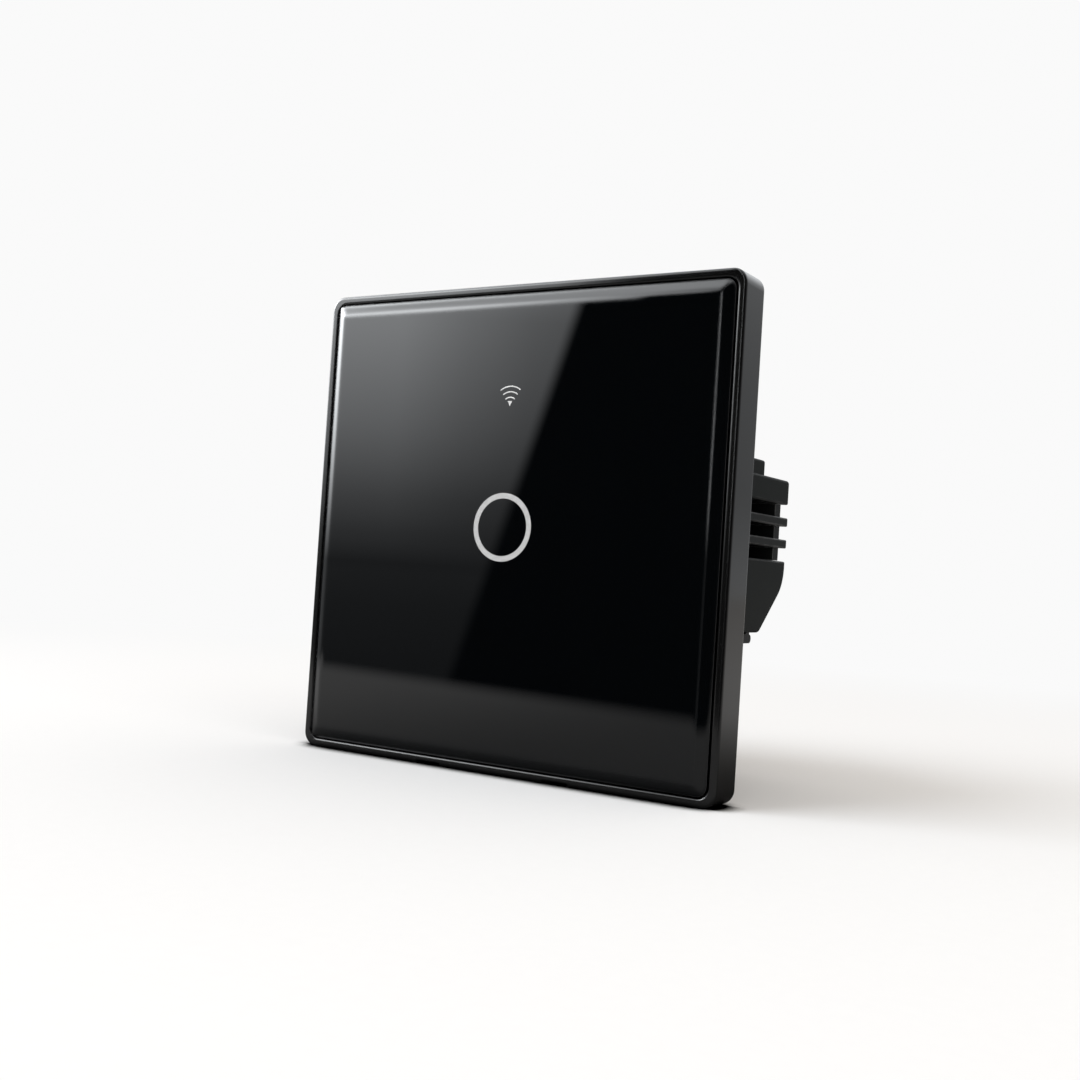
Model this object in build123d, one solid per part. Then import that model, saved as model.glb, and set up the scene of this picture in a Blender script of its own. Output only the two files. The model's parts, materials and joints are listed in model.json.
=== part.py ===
from build123d import *
import os
from math import atan2, cos, pi, radians, sin, sqrt

# Touch light switch for a square wall box, in millimetres.
# X runs to the viewer's right, Z up, and the glass faces -Y. Y = 0 is the wall, and the origin lies
# midway between the two screws that hold the switch to its wall box.

# Clearances that several pieces share
seat_gap = 0.1  # between fixed pieces that are pushed together
slide_gap = 0.12  # each side of a clamp cage in its chamber
thread_gap = 0.04  # radial, around a screw's shank
cut_over = 1.0  # how far a cutting shape runs past the face that it opens

# Front frame
panel_side = 86.0
panel_corner_r = 2.6
panel_depth = 7.1  # from the wall to the lip
lip_w = 1.45
lip_edge_r = 0.45
opening_corner_r = 2.0
lip_inner_chamfer = 0.2
web_t = 1.2
web_ring_window_r = 7.4
web_sign_window_r = 3.2

# Glass, its adhesive and what is printed on it
glass_gap = 0.3
glass_t = 3.0
glass_proud = 0.8
bevel_w = 1.93
bevel_drop = 0.77
adhesive_t = 0.3
adhesive_inset = 1.2
ring_outer_r = 6.0
ring_band = 0.95
print_depth = 0.15  # how deep the print sits in the glass
print_proud = 0.02
sign_tip_z = 21.2
sign_arc_pitch = 0.97
sign_first_arc_r = 1.58
sign_stroke = 0.2
sign_wedge_w = 0.9
sign_wedge_h = 0.92
sign_arc_count = 3
sign_half_angle = 34.5

# Snap hooks of the frame and the pry notches in its lower edge
hook_w = 8.0
hook_t = 1.2
hook_barb = 0.5
hook_barb_l = 1.1
hook_inset = 4.75  # from the frame's opening to the hook
hook_z = 24.0
hook_end_y = -0.4
notch_x = 13.3
notch_w = 5.1
notch_d = 2.1
notch_front_h = 0.5  # how far the notch opens the lip's lower edge

# Base plate on the wall
plate_gap = 0.4
plate_t = 2.6
plate_corner_r = 1.8
box_screw_spacing = 60.3
box_slot_w = 4.2
box_slot_l = 7.0
box_head_recess_w = 8.4
box_head_recess_d = 1.2
seat_pad_t = 0.6
seat_pad_grow = 0.3
cover_window_w = 34.0
cover_window_h = 32.0
plate_pocket_w = 13.0
plate_pocket_h = 9.0
plate_pocket_d = 1.2
plate_pocket_r = 2.0
plate_pocket_inset = 3.4
clip_arm_w = 4.4
clip_arm_t = 1.6
clip_arm_reach = 22.9
clip_arm_inset = 0.4
clip_arm_gap = 0.3
clip_tooth_h = 0.5
clip_tooth_l = 2.4

# Rear housing: the main box and the wing on its +X side
box_w = 52.0
box_h = 50.0
box_corner_r = 6.0
box_rear_r = 1.5
housing_depth = 36.4
housing_wall = 1.6
rear_wall = 1.8
wing_x = 35.0
wing_wall = 1.8
wing_top_z = 12.8
wing_bottom_z = -15.8
wing_slope_y = 25.8
wing_slope_rise = 8.9
wing_slope_r = 7.2
wing_toe_r = 1.5
wing_block_r = 0.7
wing_edge_r = 0.6
wing_root_x = 20.0
lug_x = 27.0
lug_inset = 0.8
lug_top_z = 15.6
lug_depth = 26.0
lug_edge_r = 0.5
boss_r = 2.7
boss_inset = 2.4
boss_step_w = 0.9

# Three terminals in the wing
terminal_count = 3
terminal_pitch = 4.1
terminal_mid_z = 2.9
lane_h = 2.5
chamber_h = 3.34
chamber_wall = 0.75
chamber_end_gap = 0.3
block_inner_wall = 1.0
block_front_y = 13.0
block_front_wall = 1.0
block_rear_recess = 2.0
block_rear_wall = 2.2
lane_front_y = 16.0
lane_rear_wall = 2.5
lane_back_inset = 0.8  # how far the wall behind the lanes stands back from the ribs' ends
rib_edge_c = 0.2
window_edge_c = 0.3
window_mouth_r = 0.5
wire_hole_r = 1.15

# Clamp: contact bar, cage and screw
bar_face_x = 23.9
bar_t = 0.8
bar_w = 1.7
bar_foot_x = 20.8
bar_foot_y = 15.0
bar_pin_over = 0.8
wire_gap = 2.5
cage_l = 4.0
cage_inset = 6.8  # from the terminal block's back to the cage's middle
cage_jaw_t = 0.8
cage_nut_t = 1.0
cage_side_t = 0.5
cage_travel = 2.2
cage_nut_gap = 0.2
clamp_screw_r = 1.0
clamp_head_r = 1.45
clamp_head_h = 1.2
clamp_slot_w = 0.5
clamp_slot_d = 0.6
clamp_head_gap = 0.2
clamp_tip_gap = 0.1
clamp_neck_gap = 0.4

# Inner cover, light guide, spring
cover_t = 1.1
cover_proud = 0.3
cover_ledge = 4.0
cover_corner_r = 6.0
post_r = 2.2
post_x = 14.0
post_z = 12.6
guide_front_y = -4.2
guide_wall = 1.05
guide_flange_w = 1.6
guide_flange_t = 0.8
guide_led_gap = 0.3
guide_fit = 0.15
spring_r = 3.6
spring_wire_r = 0.35
spring_turns = 4
spring_wire_sides = 6
spring_glass_gap = 0.3

# Boards
board_y = 2.0
control_w = 38.0
control_h = 40.0
control_t = 1.2
power_y = 9.0
power_t = 1.6
power_gap = 0.8
board_corner_r = 1.5
notch_clear = 0.3

# Parts on the boards
led_w = 1.6
led_h = 0.8
led_t = 0.7
led_count = 4
chip_w = 5.0
chip_h = 4.0
chip_t = 0.9
chip_x = 10.0
chip_z = 0.0
radio_w = 16.0
radio_h = 22.0
radio_t = 0.8
radio_x = -3.4
radio_z = 4.0
can_w = 13.0
can_h = 13.5
can_t = 1.7
can_drop = 3.0
can_edge_r = 0.5
pin_count = 8
pin_pitch = 2.54
pin_side = 0.64
pin_hole_side = 0.8
header_w = 2.5
header_z = -18.2
header_base_h = 2.5
header_mate_gap = 0.1
header_pin_over = 1.0

relay_w = 20.0
relay_d = 15.4
relay_h = 15.6
relay_x = -13.2
relay_z = -8.5
relay_edge_r = 0.8
core_w = 13.5
core_d = 5.0
core_h = 11.0
core_x = -13.5
core_z = 10.5
winding_w = 9.0
winding_d = 12.0
winding_h = 8.0
winding_lift = 1.6
winding_corner_r = 2.0
input_cap_r = 4.0
input_cap_h = 12.5
input_cap_x = 1.5
input_cap_z = 16.5
output_cap_r = 3.15
output_cap_h = 8.5
output_cap_x = 11.0
output_cap_z = 17.0
cap_edge_r = 0.6
fuse_r = 1.75
fuse_l = 9.0
fuse_x = 8.5
fuse_z = -4.5
varistor_r = 3.7
varistor_t = 3.6
varistor_x = 9.0
varistor_z = -11.5
varistor_lift = 0.8
lead_r = 0.3
bridge_w = 6.4
bridge_d = 4.8
bridge_h = 2.5
bridge_x = 3.0
bridge_z = 4.0

# Fasteners
housing_screw_r = 1.1
housing_screw_l = 11.0
housing_head_r = 2.2
housing_head_h = 1.2
housing_head_clear = 0.25
cover_screw_r = 0.8
cover_screw_l = 2.2
cover_head_r = 1.6
cover_head_h = 0.7
board_screw_r = 0.8
board_screw_l = 4.0
board_head_r = 1.6
board_head_h = 1.0
recess_w_share = 0.24
recess_l_share = 1.2
recess_d_share = 0.55
head_bevel_share = 0.4

# Planes and lengths that follow from the sizes above
lip_y = -panel_depth
glass_front_y = lip_y - glass_proud
glass_back_y = glass_front_y + glass_t
glass_side = panel_side - 2 * lip_w - 2 * glass_gap
glass_corner_r = opening_corner_r - glass_gap
opening_side = panel_side - 2 * lip_w
web_front_y = glass_back_y + adhesive_t
web_rear_y = web_front_y + web_t
plate_side = opening_side - 2 * plate_gap
hook_x = opening_side / 2 - hook_inset
ring_inner_r = ring_outer_r - ring_band

cover_rear_y = -plate_t - cover_proud + cover_t
cover_w = cover_window_w + 2 * cover_ledge
cover_h = cover_window_h + 2 * cover_ledge
cover_screw_x = cover_window_w / 2 + cover_ledge / 2
housing_head_y = -plate_t + housing_head_h + housing_head_clear

box_x = box_w / 2
box_z = box_h / 2
inner_x = box_x - housing_wall
inner_z = box_z - housing_wall
boss_x = inner_x - boss_inset
boss_z = inner_z - boss_inset
power_rear_y = power_y + power_t
control_rear_y = board_y + control_t

lane_zs = [
    terminal_mid_z + terminal_pitch * (place - (terminal_count - 1) / 2)
    for place in range(terminal_count)
]
rib_t = terminal_pitch - lane_h
rib_zs = [(low + high) / 2 for low, high in zip(lane_zs, lane_zs[1:])]
block_rear_y = housing_depth - block_rear_recess
lane_rear_y = block_rear_y - lane_rear_wall
chamber_rear_y = block_rear_y - block_rear_wall
cage_y = block_rear_y - cage_inset
bay_half = terminal_pitch * (terminal_count - 1) / 2 + chamber_h / 2 + chamber_wall
window_half = terminal_pitch * (terminal_count - 1) / 2 + lane_h / 2

bar_back_x = bar_face_x - bar_t
jaw_face_x = bar_back_x - wire_gap
jaw_back_x = jaw_face_x - cage_jaw_t
nut_face_x = bar_face_x + cage_nut_gap
nut_back_x = nut_face_x + cage_nut_t
clamp_tip_x = bar_face_x + clamp_tip_gap
clamp_head_x = nut_back_x + cage_travel + clamp_head_gap
clamp_top_x = clamp_head_x + clamp_head_h
neck_x = clamp_top_x + clamp_neck_gap
chamber_x = jaw_back_x - chamber_end_gap
block_x = chamber_x - block_inner_wall
wire_x = (jaw_face_x + bar_back_x) / 2
cage_h = chamber_h - 2 * slide_gap
wing_inner_x = wing_x - wing_wall


# Shapes that many pieces are made from


def prism(sketch, front_y, rear_y):
    """An X-Z outline, solid from front_y back to rear_y."""
    return extrude(Plane.XZ.offset(-rear_y) * sketch, rear_y - front_y)


def side_prism(sketch, low_x, high_x):
    """A Y-Z outline, solid from low_x to high_x."""
    return extrude(Plane.YZ.offset(low_x) * sketch, high_x - low_x)


def block(x_span, y_span, z_span):
    """A box between two values along each axis."""
    spans = (x_span, y_span, z_span)
    middle = [(low + high) / 2 for low, high in spans]
    return Pos(*middle) * Box(*[high - low for low, high in spans])


def rod_y(radius, x, z, front_y, rear_y):
    return prism(Pos(x, z) * Circle(radius), front_y, rear_y)


def rod_x(radius, y, z, low_x, high_x):
    return side_prism(Pos(y, z) * Circle(radius), low_x, high_x)


def rod_z(radius, x, y, low_z, high_z):
    return extrude(Plane.XY.offset(low_z) * Pos(x, y) * Circle(radius), high_z - low_z)


def around(middle, width):
    return (middle - width / 2, middle + width / 2)


def corners(x, z):
    return [(side * x, end * z) for side in (-1, 1) for end in (-1, 1)]


def screw(head_r, head_h, shank_r, shank_l):
    """Cross-recess screw: its head stands on the local XY plane and its shank hangs below."""
    head = extrude(Circle(head_r), head_h)
    head = chamfer(head.edges().group_by(Axis.Z)[-1], head_h * head_bevel_share)
    shank = extrude(Circle(shank_r), -shank_l)
    depth = head_h * recess_d_share
    arm = Box(head_r * recess_l_share, head_r * recess_w_share, 2 * depth)
    cross = Pos(0, 0, head_h) * (arm + Rot(0, 0, 90) * arm)
    return head + shank - cross


def placed(shape, x, y, z, facing):
    """Move a screw so that its seat is at the point and its head faces the given way."""
    return Plane(origin=(x, y, z), z_dir=facing).location * shape


# Front: glass, print, adhesive and frame


def sign_outline():
    """Three concentric strokes with round ends over a small wedge, tip down."""
    outline = Polygon(
        (0, 0),
        (sign_wedge_w / 2, sign_wedge_h),
        (-sign_wedge_w / 2, sign_wedge_h),
        align=None,
    )
    turn = radians(sign_half_angle)
    strokes = [outline]
    for place in range(sign_arc_count):
        radius = sign_first_arc_r + place * sign_arc_pitch
        reach = 2 * radius
        wedge = Polygon(
            (0, 0),
            (reach * sin(turn), reach * cos(turn)),
            (0, reach / cos(turn)),
            (-reach * sin(turn), reach * cos(turn)),
            align=None,
        )
        stroke = (Circle(radius + sign_stroke / 2) - Circle(radius - sign_stroke / 2)) & wedge
        for side in (-1, 1):
            end = Pos(side * radius * sin(turn), radius * cos(turn))
            stroke += end * Circle(sign_stroke / 2)
        strokes.append(stroke)
    return strokes


def ring_outline():
    return Circle(ring_outer_r) - Circle(ring_inner_r)


def print_solids(outlines, front_y, rear_y):
    return [prism(outline, front_y, rear_y) for outline in outlines]


def make_print():
    front_y = glass_front_y - print_proud
    rear_y = glass_front_y + print_depth
    ring = print_solids([ring_outline()], front_y, rear_y)[0]
    sign = print_solids([Pos(0, sign_tip_z) * part for part in sign_outline()], front_y, rear_y)
    return ring, Compound(children=sign), sign


def make_glass(ring, sign):
    blank = prism(RectangleRounded(glass_side, glass_side, glass_corner_r), glass_front_y, glass_back_y)
    bevel_y = glass_front_y + bevel_drop
    face_side = glass_side - 2 * bevel_w
    ground = loft(
        [
            Plane.XZ.offset(-bevel_y) * Rectangle(glass_side, glass_side),
            Plane.XZ.offset(-glass_front_y) * Rectangle(face_side, face_side),
        ],
        ruled=True,
    )
    rest = prism(Rectangle(glass_side, glass_side), bevel_y, glass_back_y)
    glass = blank & (ground + rest)
    for printed in [ring] + sign:
        glass -= printed
    return glass


def make_adhesive():
    side = glass_side - 2 * adhesive_inset
    sheet = RectangleRounded(side, side, glass_corner_r)
    sheet -= Circle(web_ring_window_r)
    sheet -= Pos(0, sign_tip_z + sign_first_arc_r) * Circle(web_sign_window_r)
    return prism(sheet, glass_back_y, web_front_y)


def hook_profile():
    """Cross-section of a snap hook in the Y-X plane: a straight leg with a ramped barb at its end."""
    return [
        (0, web_rear_y - web_t / 2),
        (0, hook_end_y),
        (hook_t, hook_end_y),
        (hook_t + hook_barb, hook_end_y - hook_barb_l / 2),
        (hook_t + hook_barb, hook_end_y - hook_barb_l),
        (hook_t, hook_end_y - hook_barb_l - hook_barb),
        (hook_t, web_rear_y - web_t / 2),
    ]


def make_hook(side, end):
    points = [(side * (hook_x + across), along) for across, along in hook_profile()]
    outline = make_face(Polyline(*points, close=True))
    low_z, high_z = around(end * hook_z, hook_w)
    return extrude(Plane.XY.offset(low_z) * outline, high_z - low_z)


def make_frame():
    outer = prism(RectangleRounded(panel_side, panel_side, panel_corner_r), lip_y, 0)
    outer = fillet(outer.edges().group_by(Axis.Y)[0], lip_edge_r)
    opening = RectangleRounded(opening_side, opening_side, opening_corner_r)
    frame = outer - prism(opening, lip_y - cut_over, web_front_y) - prism(opening, web_rear_y, cut_over)
    lip_face = frame.faces().sort_by(Axis.Y)[0]
    frame = chamfer(lip_face.inner_wires()[0].edges(), lip_inner_chamfer)
    frame -= rod_y(web_ring_window_r, 0, 0, web_front_y - cut_over, web_rear_y + cut_over)
    sign_z = sign_tip_z + sign_first_arc_r
    frame -= rod_y(web_sign_window_r, 0, sign_z, web_front_y - cut_over, web_rear_y + cut_over)
    for side, end in corners(1, 1):
        frame += make_hook(side, end)
    for side in (-1, 1):
        frame -= block(
            around(side * notch_x, notch_w),
            (-notch_d, cut_over),
            (-panel_side / 2 - cut_over, -opening_side / 2 + cut_over),
        )
        frame -= block(
            around(side * notch_x, notch_w),
            (lip_y - cut_over, 0),
            (-panel_side / 2 - cut_over, -panel_side / 2 + notch_front_h),
        )
    return frame


# Base plate, inner cover and light guide


def housing_outline(grow):
    """Outline of the rear housing seen from the front, larger by grow on every side."""
    main = RectangleRounded(box_w + 2 * grow, box_h + 2 * grow, box_corner_r + grow)
    low_x, high_x = wing_root_x, wing_x + grow
    low_z, high_z = wing_bottom_z - grow, wing_top_z + grow
    wing = Pos((low_x + high_x) / 2, (low_z + high_z) / 2) * Rectangle(high_x - low_x, high_z - low_z)
    lug_low_x, lug_high_z = lug_x - grow, lug_top_z + grow
    lug_high_x = high_x - lug_inset
    lug = Pos((lug_low_x + lug_high_x) / 2, (wing_top_z + lug_high_z) / 2) * Rectangle(
        lug_high_x - lug_low_x, lug_high_z - wing_top_z
    )
    return main + wing + lug


def box_slots(width, length, front_y, rear_y):
    """Both wall-box screw slots, which run up and down."""
    slot = Rot(0, 0, 90) * SlotOverall(length, width)
    return [
        prism(Pos(0, end * box_screw_spacing / 2) * slot, front_y, rear_y) for end in (-1, 1)
    ]


def make_base_plate():
    plate = prism(RectangleRounded(plate_side, plate_side, plate_corner_r), -plate_t, 0)
    plate += prism(housing_outline(seat_pad_grow), -plate_t / 2, seat_pad_t)
    window = RectangleRounded(cover_window_w, cover_window_h, cover_corner_r / 2)
    plate -= prism(window, -plate_t - cut_over, seat_pad_t + cut_over)
    rabbet = RectangleRounded(cover_w + 2 * seat_gap, cover_h + 2 * seat_gap, cover_corner_r)
    plate -= prism(rabbet, -plate_t - cut_over, cover_rear_y)
    for slot in box_slots(box_slot_w, box_slot_l, -plate_t - cut_over, seat_pad_t + cut_over):
        plate -= slot
    recess_l = box_slot_l + box_head_recess_w - box_slot_w
    recess_y = -plate_t + box_head_recess_d
    for recess in box_slots(box_head_recess_w, recess_l, -plate_t - cut_over, recess_y):
        plate -= recess
    for side, end in corners(1, 1):
        low_x = hook_x - plate_gap
        high_x = hook_x + hook_t + hook_barb + plate_gap
        x_span = sorted((side * low_x, side * high_x))
        z_span = around(end * hook_z, hook_w + 2 * plate_gap)
        plate -= block(x_span, (-plate_t - cut_over, cut_over), z_span)
    for x, z in corners(boss_x, boss_z):
        head_r = housing_head_r + housing_head_clear
        plate -= rod_y(housing_screw_r + thread_gap, x, z, -plate_t - cut_over, seat_pad_t + cut_over)
        plate -= rod_y(head_r, x, z, -plate_t - cut_over, housing_head_y)
    for side in (-1, 1):
        x = side * cover_screw_x
        plate -= rod_y(cover_screw_r + thread_gap, x, 0, -plate_t - cut_over, seat_pad_t + cut_over)
    pocket = RectangleRounded(plate_pocket_w, plate_pocket_h, plate_pocket_r)
    pocket_x = plate_side / 2 - plate_pocket_inset - plate_pocket_w / 2
    pocket_z = plate_side / 2 - plate_pocket_inset - plate_pocket_h / 2
    for x, z in corners(pocket_x, pocket_z):
        plate -= prism(Pos(x, z) * pocket, -plate_t - cut_over, -plate_t + plate_pocket_d)
    return plate + make_clip_arm()


def make_clip_arm():
    """Round-ended arm under the wing, whose tooth holds the housing to the plate."""
    top_z = wing_bottom_z - clip_arm_gap
    middle_z = top_z - clip_arm_t / 2
    end_y = clip_arm_reach - clip_arm_t / 2
    arm = Pos(end_y / 2, middle_z) * Rectangle(end_y, clip_arm_t)
    arm += Pos(end_y, middle_z) * Circle(clip_arm_t / 2)
    tooth = Polygon(
        (end_y, middle_z),
        (end_y, wing_bottom_z + clip_tooth_h),
        (end_y - clip_tooth_l / 3, wing_bottom_z + clip_tooth_h),
        (end_y - clip_tooth_l, middle_z),
        align=None,
    )
    low_x = wing_x - clip_arm_inset - clip_arm_w
    return side_prism(arm + tooth, low_x, low_x + clip_arm_w)


def make_cover():
    front_y = cover_rear_y - cover_t
    cover = prism(RectangleRounded(cover_w, cover_h, cover_corner_r), front_y, cover_rear_y)
    cover -= rod_y(ring_outer_r + guide_fit, 0, 0, front_y - cut_over, cover_rear_y + cut_over)
    for side in (-1, 1):
        x = side * cover_screw_x
        cover -= rod_y(cover_screw_r + thread_gap, x, 0, front_y - cut_over, cover_rear_y + cut_over)
        cover -= rod_y(cover_head_r + thread_gap, x, 0, front_y - cut_over, front_y + cover_head_h)
    for x, z in corners(post_x, post_z):
        cover += rod_y(post_r, x, z, cover_rear_y - cover_t / 2, board_y)
        pilot_y = board_y - board_screw_l + control_t
        cover -= rod_y(board_screw_r + thread_gap, x, z, pilot_y, board_y + cut_over)
    return cover


def make_light_guide():
    rear_y = board_y - led_t - guide_led_gap
    tube = Circle(ring_outer_r) - Circle(ring_outer_r - guide_wall)
    flange = Circle(ring_outer_r + guide_flange_w) - Circle(ring_outer_r - guide_wall)
    return prism(tube, guide_front_y, rear_y) + prism(flange, cover_rear_y, cover_rear_y + guide_flange_t)


def arc_pair(start, start_dir, end, end_dir):
    """Two arcs in space that leave start along start_dir and reach end along end_dir."""
    chord, both = end - start, start_dir + end_dir
    a = 2 * (1 - start_dir.dot(end_dir))
    b = chord.dot(both)
    reach = (sqrt(b**2 + a * chord.dot(chord)) - b) / a
    low, high = start + start_dir * reach, end - end_dir * reach
    return [
        TangentArc(start, (low + high) / 2, tangent=start_dir),
        TangentArc((low + high) / 2, end, tangent=(high - low).normalized()),
    ]


def make_spring():
    """Compression spring that stands on the control board and reaches for the glass."""
    height = board_y - web_front_y - spring_glass_gap - 2 * spring_wire_r
    rise = height / (2 * pi * spring_turns)
    stops = []
    for place in range(4 * spring_turns + 1):
        turn = place * pi / 2
        point = Vector(spring_r * cos(turn), spring_r * sin(turn), rise * turn)
        stops.append((point, Vector(-spring_r * sin(turn), spring_r * cos(turn), rise).normalized()))
    arcs = []
    for (start, start_dir), (end, end_dir) in zip(stops, stops[1:]):
        arcs += arc_pair(start, start_dir, end, end_dir)
    path = Wire(arcs)
    section = Plane(origin=path @ 0, z_dir=path % 0) * RegularPolygon(spring_wire_r, spring_wire_sides)
    coil = sweep(section, path=path)
    return Plane(origin=(0, board_y - spring_wire_r, 0), z_dir=(0, -1, 0)).location * coil


# Boards and what stands on them


def make_control_board():
    board = prism(RectangleRounded(control_w, control_h, board_corner_r), board_y, control_rear_y)
    for x, z in corners(post_x, post_z):
        board -= rod_y(board_screw_r + thread_gap, x, z, board_y - cut_over, control_rear_y + cut_over)
    return board


def make_leds():
    radius = ring_outer_r - guide_wall / 2
    leds = []
    for place in range(led_count):
        turn = radians(360 / led_count * (place + 1 / 2))
        x, z = radius * cos(turn), radius * sin(turn)
        leds.append(block(around(x, led_w), (board_y - led_t, board_y), around(z, led_h)))
    return Compound(children=leds)


def make_chip():
    return block(around(chip_x, chip_w), (board_y - chip_t, board_y), around(chip_z, chip_h))


def make_radio():
    return block(
        around(radio_x, radio_w), (control_rear_y, control_rear_y + radio_t), around(radio_z, radio_h)
    )


def make_can():
    front_y = control_rear_y + radio_t
    can = block(around(radio_x, can_w), (front_y, front_y + can_t), around(radio_z - can_drop, can_h))
    return fillet(can.edges().group_by(Axis.Y)[-1], can_edge_r)


def pin_xs():
    return [(place - (pin_count - 1) / 2) * pin_pitch for place in range(pin_count)]


def make_header_pins():
    length = pin_count * pin_pitch
    base_y = power_y - header_base_h
    header = block(around(0, length), (base_y, power_y), around(header_z, header_w))
    for x in pin_xs():
        header += block(
            around(x, pin_side),
            (control_rear_y + header_pin_over, power_rear_y + header_pin_over),
            around(header_z, pin_side),
        )
    return header


def make_header_socket():
    length = pin_count * pin_pitch
    rear_y = power_y - header_base_h - header_mate_gap
    socket = block(around(0, length), (control_rear_y, rear_y), around(header_z, header_w))
    for x in pin_xs():
        socket -= block(
            around(x, pin_hole_side),
            (control_rear_y + header_pin_over / 2, rear_y + cut_over),
            around(header_z, pin_hole_side),
        )
    return socket


def make_power_board():
    width, height = 2 * (inner_x - power_gap), 2 * (inner_z - power_gap)
    board = prism(RectangleRounded(width, height, board_corner_r), power_y, power_rear_y)
    for x, z in corners(boss_x, boss_z):
        board -= rod_y(boss_r + notch_clear, x, z, power_y - cut_over, power_rear_y + cut_over)
    for x in pin_xs():
        board -= block(
            around(x, pin_hole_side), (power_y - cut_over, power_rear_y + cut_over),
            around(header_z, pin_hole_side),
        )
    for z in lane_zs:
        board -= block(
            (bar_foot_x - bar_t - seat_gap, bar_foot_x + seat_gap),
            (power_y - cut_over, power_rear_y + cut_over),
            around(z, bar_w + 2 * seat_gap),
        )
    return board


def stood(width, depth, height, x, z, lift=0.0):
    """A box that stands on the power board's rear face."""
    low_y = power_rear_y + lift
    return block(around(x, width), (low_y, low_y + height), around(z, depth))


def make_relay():
    case = stood(relay_w, relay_d, relay_h, relay_x, relay_z)
    return fillet(case.edges().group_by(Axis.Y)[-1], relay_edge_r)


def make_core():
    frame = stood(core_w, core_d, core_h, core_x, core_z)
    return frame - stood(winding_w, winding_d, winding_h, core_x, core_z, winding_lift)


def make_winding():
    low_y = power_rear_y + winding_lift
    outline = RectangleRounded(
        winding_w - 2 * seat_gap, winding_d - 2 * seat_gap, winding_corner_r
    )
    coil = prism(Pos(core_x, core_z) * outline, low_y, low_y + winding_h)
    feet = [
        rod_y(lead_r, core_x + side * winding_w / 4, core_z + end * winding_d / 3, power_rear_y, low_y)
        for side, end in corners(1, 1)
    ]
    for foot in feet:
        coil += foot
    return coil


def make_capacitor(radius, height, x, z):
    can = rod_y(radius, x, z, power_rear_y, power_rear_y + height)
    return chamfer(can.edges().group_by(Axis.Y)[-1], cap_edge_r)


def make_fuse():
    y = power_rear_y + fuse_r
    body = rod_x(fuse_r, y, fuse_z, fuse_x - fuse_l / 2, fuse_x + fuse_l / 2)
    return chamfer(body.edges().filter_by(GeomType.CIRCLE), fuse_r / 3)


def make_varistor():
    y = power_rear_y + varistor_lift + varistor_r
    low_z, high_z = around(varistor_z, varistor_t)
    disc = rod_z(varistor_r, varistor_x, y, low_z, high_z)
    disc = chamfer(disc.edges().filter_by(GeomType.CIRCLE), varistor_t / 5)
    for side in (-1, 1):
        disc += rod_y(lead_r, varistor_x + side * varistor_r / 2, varistor_z, power_rear_y, y)
    return disc


# Rear housing


def wing_profile(inset):
    """Y-Z outline of the wing: flat underneath, a slope up to the rear wall, and a deep upper block."""
    run = housing_depth - wing_slope_y
    angle = atan2(wing_slope_rise, run)
    shift = inset * (1 - cos(angle)) / sin(angle)
    low_z, high_y = wing_bottom_z + inset, housing_depth - inset
    knee_y = wing_slope_y - shift
    knee_z = low_z + (high_y - knee_y) * wing_slope_rise / run
    outline = Polygon(
        (seat_pad_t, low_z),
        (knee_y, low_z),
        (high_y, knee_z),
        (high_y, wing_top_z - inset),
        (seat_pad_t, wing_top_z - inset),
        align=None,
    )
    low_back = outline.vertices().sort_by(Axis.X)[-2:].sort_by(Axis.Y)[0]
    outline = fillet(low_back, wing_slope_r - inset)
    toe = outline.vertices().sort_by_distance(Vector(knee_y, low_z))[0]
    return fillet(toe, wing_toe_r)


def make_wing():
    wing = side_prism(wing_profile(0), wing_root_x, wing_x)
    high_rear = wing.edges().filter_by(Axis.X).sort_by_distance(Vector(wing_x, housing_depth, wing_top_z))[0]
    wing = fillet(high_rear, wing_block_r)
    wing = fillet(wing.faces().sort_by(Axis.X)[-1].edges(), wing_edge_r)
    lug = block((lug_x, wing_x - lug_inset), (seat_pad_t, lug_depth), (wing_top_z - wing_block_r, lug_top_z))
    lug = fillet(lug.edges().filter_by(Axis.Z).group_by(Axis.Y)[-1], lug_edge_r)
    lug = fillet(lug.edges().filter_by(Axis.Y).group_by(Axis.Z)[-1], lug_edge_r)
    return wing + lug


def window_cut():
    """Opening of the wing's side for the lanes, with a rounded mouth and a chamfered outer edge."""
    mouth = Rectangle(housing_depth + cut_over - block_front_y, 2 * window_half)
    outline = Pos((block_front_y + housing_depth + cut_over) / 2, terminal_mid_z) * mouth
    edge = Plane.YZ.offset(wing_x - window_edge_c) * outline
    for side in (-1, 1):
        middle = housing_depth - window_mouth_r / 2
        corner = Pos(middle, terminal_mid_z + side * (window_half + window_mouth_r / 2))
        centre = Pos(housing_depth - window_mouth_r, terminal_mid_z + side * (window_half + window_mouth_r))
        outline += corner * Rectangle(window_mouth_r, window_mouth_r) - centre * Circle(window_mouth_r)
    cut = side_prism(outline, wing_root_x, wing_x + cut_over)
    return cut + extrude(edge, window_edge_c + cut_over, taper=-45)


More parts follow.
